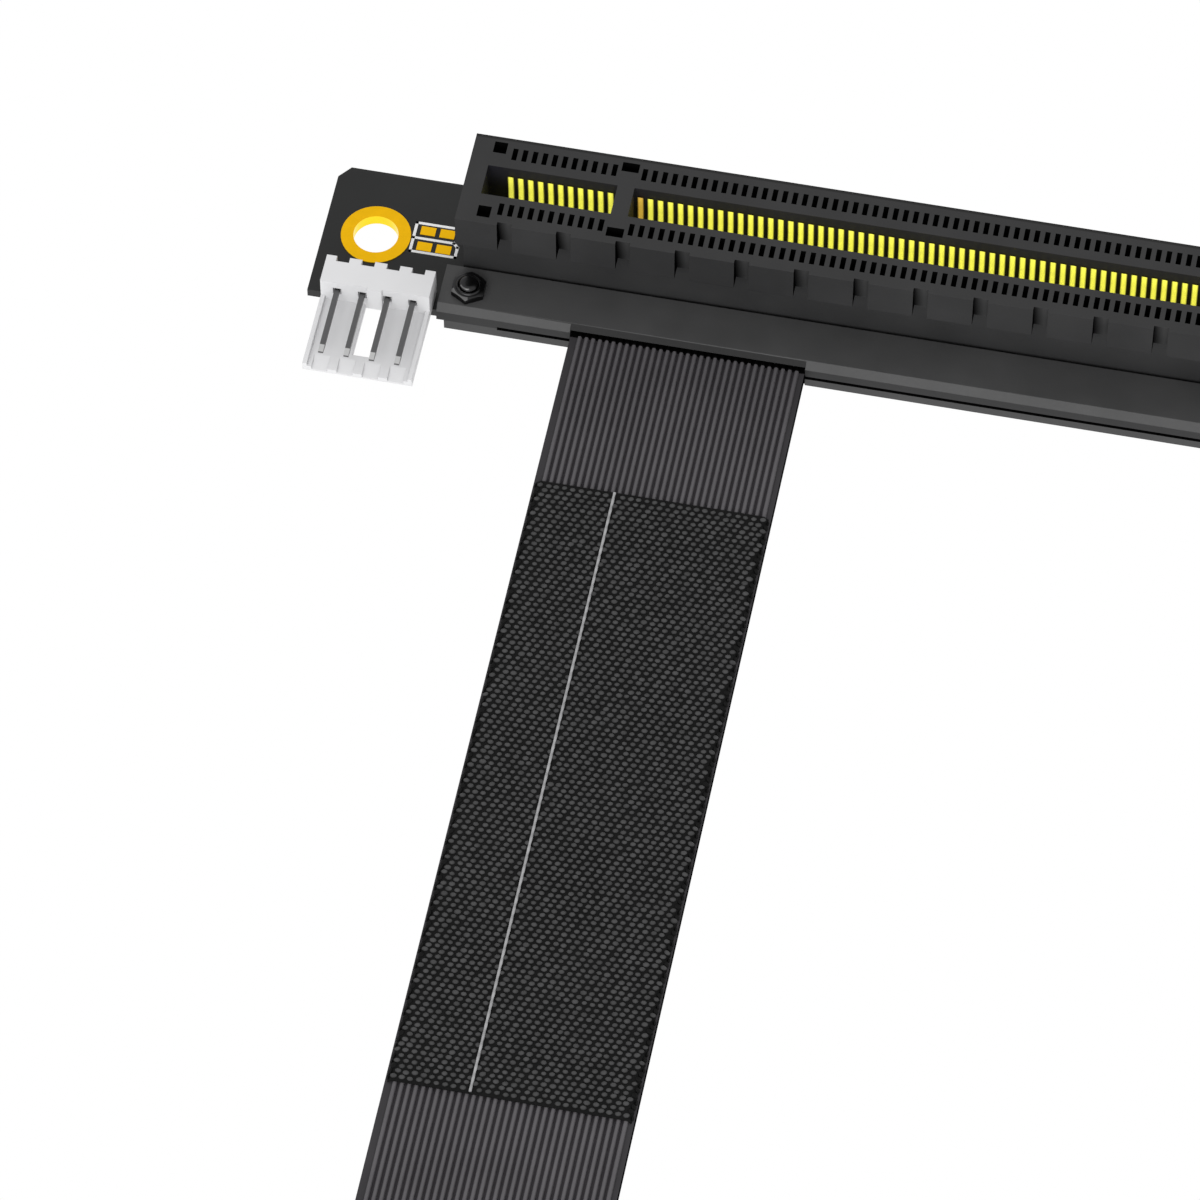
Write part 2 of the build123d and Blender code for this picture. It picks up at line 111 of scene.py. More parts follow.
softbox_data = bpy.data.lights.new("front_softbox", "AREA")
softbox_data.shape = "RECTANGLE"
softbox_data.size, softbox_data.size_y = SOFTBOX_SIZE
softbox_data.energy = SOFTBOX_POWER
softbox = bpy.data.objects.new("front_softbox", softbox_data)
bpy.context.scene.collection.objects.link(softbox)
softbox.location = SOFTBOX_PLACE
softbox.rotation_mode = "QUATERNION"
softbox.rotation_quaternion = (-SOFTBOX_PLACE).to_track_quat("-Z", "Y")

# Materials

BEVEL_SAMPLES = 4
BLADE_PITCH = 1.0
BLADE_WIDTH = 0.6
BLADE_BRIGHT = 0.34
BLADE_SIDE_SHADE = 0.12
RECESS_PITCH = 5.9
RECESS_FADE = 1.0
RECESS_START = 4.2
RECESS_SHADE_SHARE = 0.15


class Shader:
    """Adds nodes to one material."""

    def __init__(self, name):
        self.material = bpy.data.materials.new(name)
        self.material.use_nodes = True
        self.tree = self.material.node_tree
        self.bsdf = self.tree.nodes["Principled BSDF"]

    def add(self, kind, **values):
        node = self.tree.nodes.new(kind)
        for key, value in values.items():
            setattr(node, key, value)
        return node

    def link(self, out, into):
        self.tree.links.new(out, into)

    def value(self, name, value):
        self.bsdf.inputs[name].default_value = value

    def coords(self):
        return self.add("ShaderNodeTexCoord").outputs["Object"]

    def along(self, axis):
        """Metres along one axis."""
        split = self.add("ShaderNodeSeparateXYZ")
        self.link(self.coords(), split.inputs["Vector"])
        return split.outputs[axis]

    def calculate(self, operation, first, second):
        """An operation on a socket and a number."""
        node = self.add("ShaderNodeMath", operation=operation)
        node.inputs[1].default_value = second
        self.link(first, node.inputs[0])
        return node.outputs[0]

    def noise(self, scale, detail, rough=0.5):
        node = self.add("ShaderNodeTexNoise")
        node.inputs["Scale"].default_value = scale
        node.inputs["Detail"].default_value = detail
        node.inputs["Roughness"].default_value = rough
        self.link(self.coords(), node.inputs["Vector"])
        return node.outputs["Fac"]

    def ramp(self, fac, *stops):
        """A colour between two stops, each a place on the ramp and a colour."""
        node = self.add("ShaderNodeValToRGB")
        for element, (position, colour) in zip(node.color_ramp.elements, stops):
            element.position = position
            element.color = (*colour, 1)
        self.link(fac, node.inputs["Fac"])
        return node.outputs["Color"]

    def surface(self, height, strength, distance, edge=0.0):
        """Fine relief, on edges that are rounded by the given radius in metres."""
        node = self.add("ShaderNodeBump")
        node.inputs["Strength"].default_value = strength
        node.inputs["Distance"].default_value = distance
        self.link(height, node.inputs["Height"])
        if edge:
            bevel = self.add("ShaderNodeBevel", samples=BEVEL_SAMPLES)
            bevel.inputs["Radius"].default_value = edge
            self.link(bevel.outputs["Normal"], node.inputs["Normal"])
        self.link(node.outputs["Normal"], self.bsdf.inputs["Normal"])

    def map_range(self, fac, low, high, start=0.0, end=1.0):
        node = self.add("ShaderNodeMapRange")
        node.inputs["From Min"].default_value = start
        node.inputs["From Max"].default_value = end
        node.inputs["To Min"].default_value = low
        node.inputs["To Max"].default_value = high
        self.link(fac, node.inputs["Value"])
        return node.outputs["Result"]

    def scaled(self, colour, amount):
        scale = self.add("ShaderNodeVectorMath", operation="SCALE")
        self.link(colour, scale.inputs[0])
        self.link(amount, scale.inputs["Scale"])
        return scale.outputs["Vector"]

    def fade(self, colour, axis, start, end, share):
        """The colour, brought down to the share between two places in millimetres."""
        amount = self.map_range(self.along(axis), 1.0, share, start * MM, end * MM)
        return self.scaled(colour, amount)

    def repeat(self, operation, first, period):
        """Metres along X from the first place, folded or started again at each period. Both
        are given in millimetres."""
        shift = self.calculate("SUBTRACT", self.along("X"), first * MM)
        return self.calculate(operation, shift, period * MM)

    def blades(self, colour, first):
        """The colour, with painted shade towards the sides of blades that stand one pitch
        apart.
        """
        off = self.repeat("PINGPONG", first, BLADE_PITCH / 2)
        sides = (BLADE_BRIGHT / 2 * MM, BLADE_WIDTH / 2 * MM)
        return self.scaled(colour, self.map_range(off, 1.0, BLADE_SIDE_SHADE, *sides))

    def recesses(self, colour, first):
        """The colour, with painted shade towards the left side of recesses that stand one pitch
        apart.
        """
        off = self.repeat("FLOORED_MODULO", first, RECESS_PITCH)
        amount = self.map_range(off, RECESS_SHADE_SHARE, 1.0, 0.0, RECESS_FADE * MM)
        return self.scaled(colour, amount)


def shade(colour, share):
    return tuple(v * share for v in colour)


# A noise has its scale, detail and sometimes roughness, and a relief its strength and depth
# in metres. The scales of the grain and of the marks come with the material.

PLASTIC_TONE = (160, 2)
PLASTIC_TONE_STOPS = (0.3, 0.7)
PLASTIC_GRAIN = (4, 0.65)
PLASTIC_GLOSS = 0.08
PLASTIC_RELIEF = (0.12, 0.00003)
METAL_MARKS = (5, 0.7)
METAL_TONE_STOPS = (0.35, 0.65)
METAL_DULL_SHARE = 0.93
METAL_GLOSS = (0.06, 0.1)
METAL_RELIEF = (0.08, 0.00002)
THREAD_TONE = (900, 1)
THREAD_TONE_STOPS = (0.35, 0.65)
THREAD_FIBRE = (14000, 2, 0.7)
THREAD_GLOSS = (0.55, 0.75)
THREAD_RELIEF = (0.3, 0.00002)
THREAD_SPECULAR = 0.25
THREAD_SHEEN = 0.15
THREAD_SHEEN_ROUGHNESS = 0.4


def plastic(
    name,
    base,
    rough,
    grain,
    spread=0.12,
    edge=0.0,
    specular=0.35,
    fade=None,
    recesses_from=None,
):
    """Moulded plastic: a slow change of tone, and fine spark-eroded grain with uneven gloss."""
    s = Shader(name)
    s.value("Specular IOR Level", specular)
    slow = s.noise(*PLASTIC_TONE)
    fine = s.noise(grain, *PLASTIC_GRAIN)
    tones = (shade(base, 1 - spread), shade(base, 1 + spread))
    colour = s.ramp(slow, *zip(PLASTIC_TONE_STOPS, tones))
    # Painted shade: the colour fades down along one axis
    if fade:
        colour = s.fade(colour, *fade)
    # Painted shade at the left side of each recess
    if recesses_from is not None:
        colour = s.recesses(colour, recesses_from)
    s.link(colour, s.bsdf.inputs["Base Color"])
    gloss = s.map_range(fine, rough - PLASTIC_GLOSS, rough + PLASTIC_GLOSS)
    s.link(gloss, s.bsdf.inputs["Roughness"])
    s.surface(fine, *PLASTIC_RELIEF, edge)
    return s.material


def metal(
    name,
    base,
    rough,
    scratch=900,
    metallic=1.0,
    painted_glow=0.0,
    edge=0.0,
    blades_from=None,
):
    """Plated or plain metal with faint marks and uneven gloss. A painted glow adds light of its
    own, and given the first blade's place, painted shade darkens the sides of the blades."""
    s = Shader(name)
    s.value("Metallic", metallic)
    marks = s.noise(scratch, *METAL_MARKS)
    tones = (shade(base, METAL_DULL_SHARE), base)
    colour = s.ramp(marks, *zip(METAL_TONE_STOPS, tones))
    # Painted shade along the sides of the blades
    if blades_from is not None:
        colour = s.blades(colour, blades_from)
    s.link(colour, s.bsdf.inputs["Base Color"])
    # Painted light: the colour glows
    if painted_glow:
        s.link(colour, s.bsdf.inputs["Emission Color"])
        s.value("Emission Strength", painted_glow)
    gloss = s.map_range(marks, rough - METAL_GLOSS[0], rough + METAL_GLOSS[1])
    s.link(gloss, s.bsdf.inputs["Roughness"])
    s.surface(marks, *METAL_RELIEF, edge)
    return s.material


def thread(name, base, spread=0.3):
    """Polyester thread: a soft sheen, fine fibres and a tone that varies between stitches."""
    s = Shader(name)
    s.value("Specular IOR Level", THREAD_SPECULAR)
    s.value("Sheen Weight", THREAD_SHEEN)
    s.value("Sheen Roughness", THREAD_SHEEN_ROUGHNESS)
    tone = s.noise(*THREAD_TONE)
    fibre = s.noise(*THREAD_FIBRE)
    tones = (shade(base, 1 - spread), shade(base, 1 + spread))
    colour = s.ramp(tone, *zip(THREAD_TONE_STOPS, tones))
    s.link(colour, s.bsdf.inputs["Base Color"])
    s.link(s.map_range(fibre, *THREAD_GLOSS), s.bsdf.inputs["Roughness"])
    s.surface(fibre, *THREAD_RELIEF)
    return s.material


BOARD_GRAIN = 2600
HEADER_GRAIN = 3500
CLAMP_GRAIN = 5000
JACKET_GRAIN = 5000
HOUSING_GRAIN = 6000
PRINT_GRAIN = 9000
BRAID_GRAIN = 14000
BOARD_EDGE = 0.00005
PIN_EDGE = 0.00005
HOUSING_EDGE = 0.00006
CLAMP_EDGE = 0.00008
HEADER_EDGE = 0.0001
HOUSING_BLACK = (0.021, 0.021, 0.0215)

TOP_EDGE = slot_high[1] - 0.2
# Painted shade: the top face darkens towards its back edge
TOP_EDGE_SHADE = ("Y", TOP_EDGE - 0.35, TOP_EDGE - 0.2, 0.2)
FIRST_BLADE = box_mm("slot_contacts_back")[0][0] + BLADE_WIDTH / 2

board_black = plastic(
    "solder_mask", (0.0084, 0.0088, 0.0088), 0.45, BOARD_GRAIN, edge=BOARD_EDGE
)
housing_black = plastic(
    "housing_plastic", HOUSING_BLACK, 0.5, HOUSING_GRAIN, edge=HOUSING_EDGE
)
housing_top_shaded = plastic(
    "housing_top_shaded",
    HOUSING_BLACK,
    0.5,
    HOUSING_GRAIN,
    edge=HOUSING_EDGE,
    fade=TOP_EDGE_SHADE,
)
# Painted light and shade: the front faces and the foot get copies of the housing plastic in
# tones of their own
housing_front_painted = plastic(
    "housing_front_painted",
    (0.028, 0.028, 0.0285),
    0.6,
    HOUSING_GRAIN,
    edge=HOUSING_EDGE,
    specular=0.1,
)
housing_foot_painted = plastic(
    "housing_foot_painted", (0.031, 0.031, 0.0315), 0.5, HOUSING_GRAIN, specular=0.2
)
# Painted shade inside the card opening
opening_shade = plastic(
    "housing_opening_shade", (0.0145, 0.0142, 0.0205), 0.6, HOUSING_GRAIN, specular=0.15
)
# Painted shade on the recesses' backs, darkest at each recess's left side
recess_shade = plastic(
    "housing_recess_shade",
    (0.05, 0.05, 0.0505),
    0.8,
    HOUSING_GRAIN,
    specular=0.0,
    recesses_from=slot_low[0] + RECESS_START,
)
# Painted shadow: near black for faces where shade falls, on the back chamfer, in the windows,
# on the recesses' walls and deep in the clamps
painted_shadow = plastic(
    "shadow_black", (0.0025, 0.0025, 0.0025), 0.9, HOUSING_GRAIN, specular=0.0
)
clamp_black = plastic(
    "clamp_plastic", (0.056, 0.056, 0.0565), 0.45, CLAMP_GRAIN, edge=CLAMP_EDGE
)
# Painted light and shade: copies of the clamp plastic in tones of their own for the slopes, the
# skirt and the visor over the cable
clamp_slope_shade = plastic(
    "clamp_slope_shade", (0.038, 0.038, 0.0385), 0.45, CLAMP_GRAIN, edge=CLAMP_EDGE
)
clamp_skirt_shade = plastic(
    "clamp_skirt_shade", (0.022, 0.022, 0.0225), 0.5, CLAMP_GRAIN, specular=0.2
)
clamp_visor_shade = plastic(
    "clamp_visor_shade", (0.014, 0.014, 0.0142), 0.55, CLAMP_GRAIN, specular=0.2
)
gold = metal("gold_plate", (0.98, 0.55, 0.008), 0.42)
# Painted highlight: a brighter gold with a painted glow on the mounting hole's barrel wall
gold_barrel_lit = metal("gold_barrel_lit", (1.0, 0.72, 0.02), 0.2, painted_glow=0.1)
# Painted light: the contacts glow, and their sides carry painted shade
contact_gold_lit = metal(
    "contact_plate",
    (1.0, 0.97, 0.13),
    0.35,
    scratch=250,
    metallic=0.3,
    painted_glow=0.56,
    blades_from=FIRST_BLADE,
)
# Painted shadow of the key wall on the first blade after the key
contact_key_shadow = metal(
    "contact_key_shadow",
    (0.85, 0.55, 0.09),
    0.35,
    scratch=250,
    metallic=0.3,
    painted_glow=0.42,
    blades_from=FIRST_BLADE,
)
header_white = plastic(
    "header_nylon",
    (0.69, 0.69, 0.7),
    0.45,
    HEADER_GRAIN,
    0.02,
    edge=HEADER_EDGE,
    specular=0.5,
)
# Painted shade: a copy of the nylon in a tone of its own for the sloped faces of the ramps
header_ramp_shade = plastic(
    "header_ramp_shade",
    (0.68, 0.68, 0.69),
    0.5,
    HEADER_GRAIN,
    0.02,
    edge=HEADER_EDGE,
    specular=0.3,
)
pin_tin = metal("pin_plate", (0.14, 0.14, 0.142), 0.4, edge=PIN_EDGE)
# Painted highlight on the pins' tips
pin_highlight = metal("pin_end_highlight", (0.6, 0.6, 0.6), 0.3)
screw_dark = metal("dark_steel", (0.04, 0.04, 0.041), 0.28)
# Painted highlights on the bevels of the nuts and screws
screw_highlight = metal("painted_highlight", (0.16, 0.16, 0.16), 0.3)
wire_tin = metal("wire_tin", (0.6, 0.6, 0.6), 0.3)
jacket = plastic("cable_jacket", (0.088, 0.083, 0.089), 0.55, JACKET_GRAIN, 0.1)
# Painted shade on the web between the ribs and on the flat margins, and painted shadow on the
# sides
jacket_web_shade = plastic(
    "cable_web", (0.033, 0.03, 0.034), 0.7, JACKET_GRAIN, specular=0.15
)
jacket_margin_shade = plastic(
    "cable_margin", (0.036, 0.034, 0.037), 0.6, JACKET_GRAIN, specular=0.2
)
jacket_shadow = plastic(
    "cable_side", (0.002, 0.002, 0.002), 0.9, JACKET_GRAIN, specular=0.0
)
# Painted light and shade on the braid: lit and half-shaded copies of the thread, and a shaded
# ground under and round the floats
weave_lit = thread("braid_thread", (0.05, 0.05, 0.0507), 0.2)
weave_half_shade = thread("braid_thread_side", (0.032, 0.032, 0.0325))
weave_shade = plastic(
    "braid_ground", (0.0065, 0.0065, 0.0065), 0.8, BRAID_GRAIN, specular=0.1
)
tracer_thread = thread("tracer_thread", (0.33, 0.33, 0.335), 0.1)
print_white = plastic("printed_line", (0.85, 0.85, 0.85), 0.6, PRINT_GRAIN, 0.05)


def dress(node, *materials):
    """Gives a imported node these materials, the first one on all of its faces."""
    mesh = nodes[node].data
    mesh.materials.clear()
    for material in materials:
        mesh.materials.append(material)
    mesh.polygons.foreach_set("material_index", [0] * len(mesh.polygons))
    return mesh


for material, dressed in (
    (board_black, ("slot_board", "plug_board")),
    (gold, ("link_pads", "plug_fingers_upper", "plug_fingers_lower")),
    (contact_gold_lit, ("slot_contacts_front",)),
    (screw_dark, ("slot_clamp_screws", "slot_clamp_nuts")),
    (screw_dark, ("plug_clamp_screws", "plug_clamp_nuts")),
    (wire_tin, ("slot_end_wires_upper", "slot_end_wires_lower")),
    (wire_tin, ("plug_end_wires_upper", "plug_end_wires_lower")),
    (jacket, ("cable_ribbon_upper", "cable_ribbon_lower")),
    (weave_shade, ("cable_sleeve",)),
    (tracer_thread, ("sleeve_tracer",)),
):
    for node in dressed:
        dress(node, material)

# Faces with painted light and shade: materials lighter or darker than the rest of their piece.
# A normal's part along an axis says how far the face looks that way. Places are in millimetres,
# and a face nearer than SKIN to a plane counts as lying in it.

STRAIGHT = 0.9
HALFWAY = 0.5
PARTLY = 0.3
HARDLY = 0.1
TILTED = 0.05
SKIN = 0.05
END_WALL = 1.0
RIM_EDGE = 0.35
RIM_HEIGHT = 4.0
WINDOW_DEPTH = 2.2
WINDOW_ROOM = 0.1
WINDOW_FROM_MIDDLE = 2.5
OPENING_FROM_MIDDLE = 1.95
RECESS_DEPTH = 1.5
RECESS_BACK_SHARE = 0.6
BLADE_AFTER_KEY = 13.0
MOUTH_DEPTH = 0.9


# The first blade after the key gets the key wall's painted shadow
def contact_face(x, y, z, normal):
    off = x - FIRST_BLADE - BLADE_AFTER_KEY
    return contact_key_shadow if abs(off) < BLADE_PITCH / 2 else contact_gold_lit


def housing_face(x, y, z, normal):
    middle = (slot_low[1] + slot_high[1]) / 2
    from_middle = abs(y - middle)
    inner_edge = slot_high[1] - middle - RIM_EDGE
    recess_back = slot_low[1] + RECESS_DEPTH * RECESS_BACK_SHARE
    below = slot_high[2] - z
    inside = slot_low[0] + END_WALL < x < slot_high[0] - END_WALL and below > SKIN
    # The top face, with painted shade along its back edge
    if normal.z > STRAIGHT and below < SKIN:
        return housing_top_shaded
    # Painted shadow on the back chamfer, which faces up and back
    if normal.y > HALFWAY and normal.z > HALFWAY:
        return painted_shadow
    # Painted shade on the faces inside the card opening
    if inside and from_middle < OPENING_FROM_MIDDLE:
        return opening_shade
    # Painted shadow in the windows beside the opening
    if inside and below < WINDOW_DEPTH + WINDOW_ROOM and y > recess_back:
        if WINDOW_FROM_MIDDLE < from_middle < inner_edge:
            return painted_shadow
    if inside and below < RIM_HEIGHT and y < slot_low[1] + RECESS_DEPTH:
        # Painted shadow on the recesses' right-facing walls
        if normal.x > STRAIGHT:
            return painted_shadow
        # Painted shade on the recesses' sloped backs
        if normal.y < -HALFWAY and abs(normal.z) > TILTED:
            return recess_shade
    # Forward-facing faces get their own painted tone: the frontmost ones one, the set-back foot
    # another
    if normal.y < -STRAIGHT:
        return housing_front_painted if y < slot_low[1] + SKIN else housing_foot_painted
    return housing_black


def clamp_face(half, toward, low, high):
    """Picks a clamp cover's materials: lit and shaded copies of the clamp plastic face by face,
    and painted shadow on the lower cover's top and deep in the mouth. Toward is -1 or 1, the
    way along Y that the cable leaves it."""

    def pick(x, y, z, normal):
        facing = normal.y * toward
        front = low[1] if toward < 0 else high[1]
        # Painted shadow on the lower cover's upward faces
        if half == "lower" and normal.z > STRAIGHT:
            return painted_shadow
        if facing < PARTLY:
            return clamp_black
        # Painted shadow deep in the mouth
        if abs(y - front) > MOUTH_DEPTH:
            return painted_shadow
        if half == "lower":
            return clamp_slope_shade
        if ribbon_low[0] < x < ribbon_high[0]:
            return clamp_visor_shade
        return clamp_skirt_shade if facing > STRAIGHT else clamp_slope_shade

    return pick


# The barrel wall gets the painted highlight and glow
def barrel_face(x, y, z, normal):
    return gold if abs(normal.z) > HALFWAY else gold_barrel_lit


# Sloped faces that look forward and up get the painted shade
def header_face(x, y, z, normal):
    sloped = -STRAIGHT < normal.y < -HARDLY and normal.z > PARTLY
    return header_ramp_shade if sloped else header_white


# Faces that look forward get the painted highlight
def pin_face(x, y, z, normal):
    return pin_highlight if normal.y < -HARDLY and abs(normal.z) > TILTED else pin_tin


def dress_by_face(node, pick):
    found = []
    indices = []
    for face in nodes[node].data.polygons:
        material = pick(*(v / MM for v in face.center), face.normal)
        if material not in found:
            found.append(material)
        indices.append(found.index(material))
    dress(node, *found).polygons.foreach_set("material_index", indices)


dress_by_face("slot_housing", housing_face)
dress_by_face("slot_contacts_back", contact_face)
dress_by_face("mounting_hole_plating", barrel_face)
dress_by_face("power_header_body", header_face)
dress_by_face("power_header_pins", pin_face)
for end, toward in (("slot", -1), ("plug", 1)):
    for half in ("upper", "lower"):
        cover = f"{end}_clamp_{half}_cover"
        dress_by_face(cover, clamp_face(half, toward, *box_mm(cover)))

# Meshes


def piece(name, points, faces, materials, slot, face_materials=None, crease=50.0):
    """A mesh from points in millimetres, which rides on the part's one body."""
    mesh = bpy.data.meshes.new(name)
    mesh.from_pydata((np.asarray(points, float) * MM).tolist(), [], faces)
    for material in materials:
        mesh.materials.append(material)
    if face_materials is not None:
        mesh.polygons.foreach_set("material_index", face_materials)
    mesh.polygons.foreach_set("use_smooth", [True] * len(mesh.polygons))
    mesh.set_sharp_from_angle(angle=math.radians(crease))
    mesh.update()
    obj = bpy.data.objects.new(name, mesh)
    bpy.context.scene.collection.objects.link(obj)
    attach(obj, "root")
    return obj


def band(a, b, count):
    """The faces between two rings of points that start at a and at b."""
    faces = []
    for i in range(count):
        j = (i + 1) % count
        faces.append((a + i, a + j, b + j, b + i))
    return faces


def tube(rings, count):
    """The faces through rings of points one after the other, and then the two ends."""
    faces = []
    for level in range(rings - 1):
        faces += band(level * count, (level + 1) * count, count)
    last = (rings - 1) * count
    faces.append(list(range(count))[::-1])
    faces.append(list(range(last, last + count)))
    return faces


# Ribbon: rounded ribs with painted shade on the web between them and on the flat margins, and
# painted shadow on the sides and inside the clamps

RIBS = 33
RIB_WIDTH = 0.44
RIB_HEIGHT = 0.36
RIB_STEPS = (-1.0, -0.94, -0.78, -0.5, 0.0, 0.5, 0.78, 0.94, 1.0)
RIB_FULLNESS = 3
MARGINS = (0.63, 0.43)
SEAM_GAP = 0.02
SHADOW = 0.04
RIB, WEB, SIDE, MARGIN = range(4)

slot_mouth = box_mm("slot_clamp_upper_cover")[0][1]
plug_mouth = box_mm("plug_clamp_upper_cover")[1][1]
seam = ribbon_low[2]
layer = ribbon_high[2] - ribbon_low[2]
ribs_left = ribbon_low[0] + MARGINS[0]
rib_pitch = (ribbon_high[0] - ribbon_low[0] - sum(MARGINS)) / RIBS


def ribbon(name, node, upward):
    valley = layer - RIB_HEIGHT
    profile = [(ribbon_low[0], SEAM_GAP), (ribbon_low[0], valley)]
    kinds = [SIDE, MARGIN]
    for rib in range(RIBS):
        centre = ribs_left + (rib + 0.5) * rib_pitch
        for t in RIB_STEPS:
            rise = math.sqrt(1 - abs(t) ** RIB_FULLNESS)
            profile.append((centre + t * RIB_WIDTH / 2, valley + RIB_HEIGHT * rise))
        kinds += [RIB] * (len(RIB_STEPS) - 1) + [WEB]
    profile += [(ribbon_high[0], valley), (ribbon_high[0], SEAM_GAP)]
    kinds[-1] = MARGIN
    kinds += [SIDE, WEB]
    cuts = (ribbon_low[1], plug_mouth + SHADOW, slot_mouth - SHADOW, ribbon_high[1])
    points = []
    for y in cuts:
        points += [(x, y, seam + upward * z) for x, z in profile]
    faces = tube(len(cuts), len(profile))
    if upward < 0:
        faces = [face[::-1] for face in faces]
    # Painted shadow: the stretches under the clamps get the sides' near black
    clamped = [SIDE] * len(profile)
    obj = piece(
        name,
        points,
        faces,
        (jacket, jacket_web_shade, jacket_shadow, jacket_margin_shade),
        "cable_jacket",
        clamped + kinds + clamped + [WEB, WEB],
    )
    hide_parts(node)


ribbon("ribbed_layer_upper", "cable_ribbon_upper", 1)
ribbon("ribbed_layer_lower", "cable_ribbon_lower", -1)

# Sleeve: a ground in painted shade, and a twill of short floats that repeats after three rows

SLEEVE_CORNER = 0.5
SLEEVE_CREASE = 80
GROUND_SIDES = 72
GROUND_DEPTH = 0.07
GROUND_WALL = 0.1
FLOAT_PITCH = 0.815
FLOAT_ROW = 0.58
FLOAT_HALF = (0.34, 0.265)
FLOAT_HEIGHT = 0.17
FLOAT_SINK = 0.02
FLOAT_SIDES = 10
FLOAT_RINGS = (1.0, 0.88, 0.62)
FLOAT_TURN = 8
PLACE_JITTER = 0.03
TURN_JITTER = 7
SIZE_JITTER = 0.06
HEIGHT_JITTER = 0.12
END_ROOM = 0.55
TWILL = 3
TRACER_CLEAR = 0.12
SEED = 5
LIT, SHADED, HALF_SHADED = range(3)

sleeve_length = sleeve_high[1] - sleeve_low[1]
sleeve_centre = (
    (sleeve_low[0] + sleeve_high[0]) / 2,
    (sleeve_low[2] + sleeve_high[2]) / 2,
)
half_width = (sleeve_high[0] - sleeve_low[0]) / 2 - GROUND_DEPTH
half_height = (sleeve_high[2] - sleeve_low[2]) / 2 - GROUND_DEPTH
flat_x = 2 * (half_width - SLEEVE_CORNER)
flat_z = 2 * (half_height - SLEEVE_CORNER)
arc = math.pi / 2 * SLEEVE_CORNER
perimeter = 2 * (flat_x + flat_z) + 4 * arc
tracer_x = (tracer_low[0] + tracer_high[0]) / 2

# The section's flat sides in turn: length, start, the way along and the way out
flat_sides = (
    (flat_x, (-flat_x / 2, half_height), (1, 0), (0, 1)),
    (flat_z, (half_width, flat_z / 2), (0, -1), (1, 0)),
    (flat_x, (flat_x / 2, -half_height), (-1, 0), (0, -1)),
    (flat_z, (-half_width, -flat_z / 2), (0, 1), (-1, 0)),
)


def around(s):
    """Point and outward direction at length s round the sleeve's section, from the top's
    left end."""
    s %= perimeter
    for length, start, along, out in flat_sides:
        if s <= length:
            return (start[0] + along[0] * s, start[1] + along[1] * s), out
        s -= length
        if s <= arc:
            turn = s / SLEEVE_CORNER
            end = (start[0] + along[0] * length, start[1] + along[1] * length)
            hub = (end[0] - out[0] * SLEEVE_CORNER, end[1] - out[1] * SLEEVE_CORNER)
            out = (
                out[0] * math.cos(turn) + along[0] * math.sin(turn),
                out[1] * math.cos(turn) + along[1] * math.sin(turn),
            )
            return (hub[0] + out[0] * SLEEVE_CORNER, hub[1] + out[1] * SLEEVE_CORNER), out
        s -= arc
    # Rounding can leave a trace of length after the last corner, which is the start again
    return flat_sides[0][1], flat_sides[0][3]


def ground():
    """The tube under the floats. Its rings are far outer, far inner, near outer and near
    inner."""
    section = [around(s) for s in np.linspace(0, perimeter, GROUND_SIDES, endpoint=False)]
    points, faces = [], []
    for y in (sleeve_high[1], sleeve_low[1]):
        for depth in (0.0, GROUND_WALL):
            for (x, z), out in section:
                points.append(
                    (
                        sleeve_centre[0] + x - out[0] * depth,
                        y,
                        sleeve_centre[1] + z - out[1] * depth,
                    )
                )
    for a, b in ((0, 2), (2, 3), (3, 1), (1, 0)):
        faces += band(a * GROUND_SIDES, b * GROUND_SIDES, GROUND_SIDES)
    return points, faces


def float_points(x, y, z, out, jitter):
    """One float's rings from its rim inward, and then its top."""
    turn = math.radians(FLOAT_TURN + TURN_JITTER * jitter[0])
    size = 1 + SIZE_JITTER * jitter[1]
    height = FLOAT_HEIGHT * (1 + HEIGHT_JITTER * jitter[2])
    along = (out[1], -out[0])
    points = []
    for r in FLOAT_RINGS:
        h = height * math.sqrt(1 - r * r) - FLOAT_SINK
        for angle in np.arange(FLOAT_SIDES) * 2 * math.pi / FLOAT_SIDES:
            p = FLOAT_HALF[0] * size * r * math.cos(angle)
            q = FLOAT_HALF[1] * size * r * math.sin(angle)
            u = p * math.cos(turn) - q * math.sin(turn)
            v = p * math.sin(turn) + q * math.cos(turn)
            points.append(
                (x + along[0] * u + out[0] * h, y + v, z + along[1] * u + out[1] * h)
            )
    top = height - FLOAT_SINK
    points.append((x + out[0] * top, y, z + out[1] * top))
    return points


def float_faces(start):
    """The faces of the float whose points begin at start, in the order of its points."""
    faces = []
    for level in range(1, len(FLOAT_RINGS)):
        outer = start + (level - 1) * FLOAT_SIDES
        faces += band(outer, outer + FLOAT_SIDES, FLOAT_SIDES)
    inner = start + (len(FLOAT_RINGS) - 1) * FLOAT_SIDES
    top = inner + FLOAT_SIDES
    for i in range(FLOAT_SIDES):
        faces.append((inner + i, inner + (i + 1) % FLOAT_SIDES, top))
    return faces


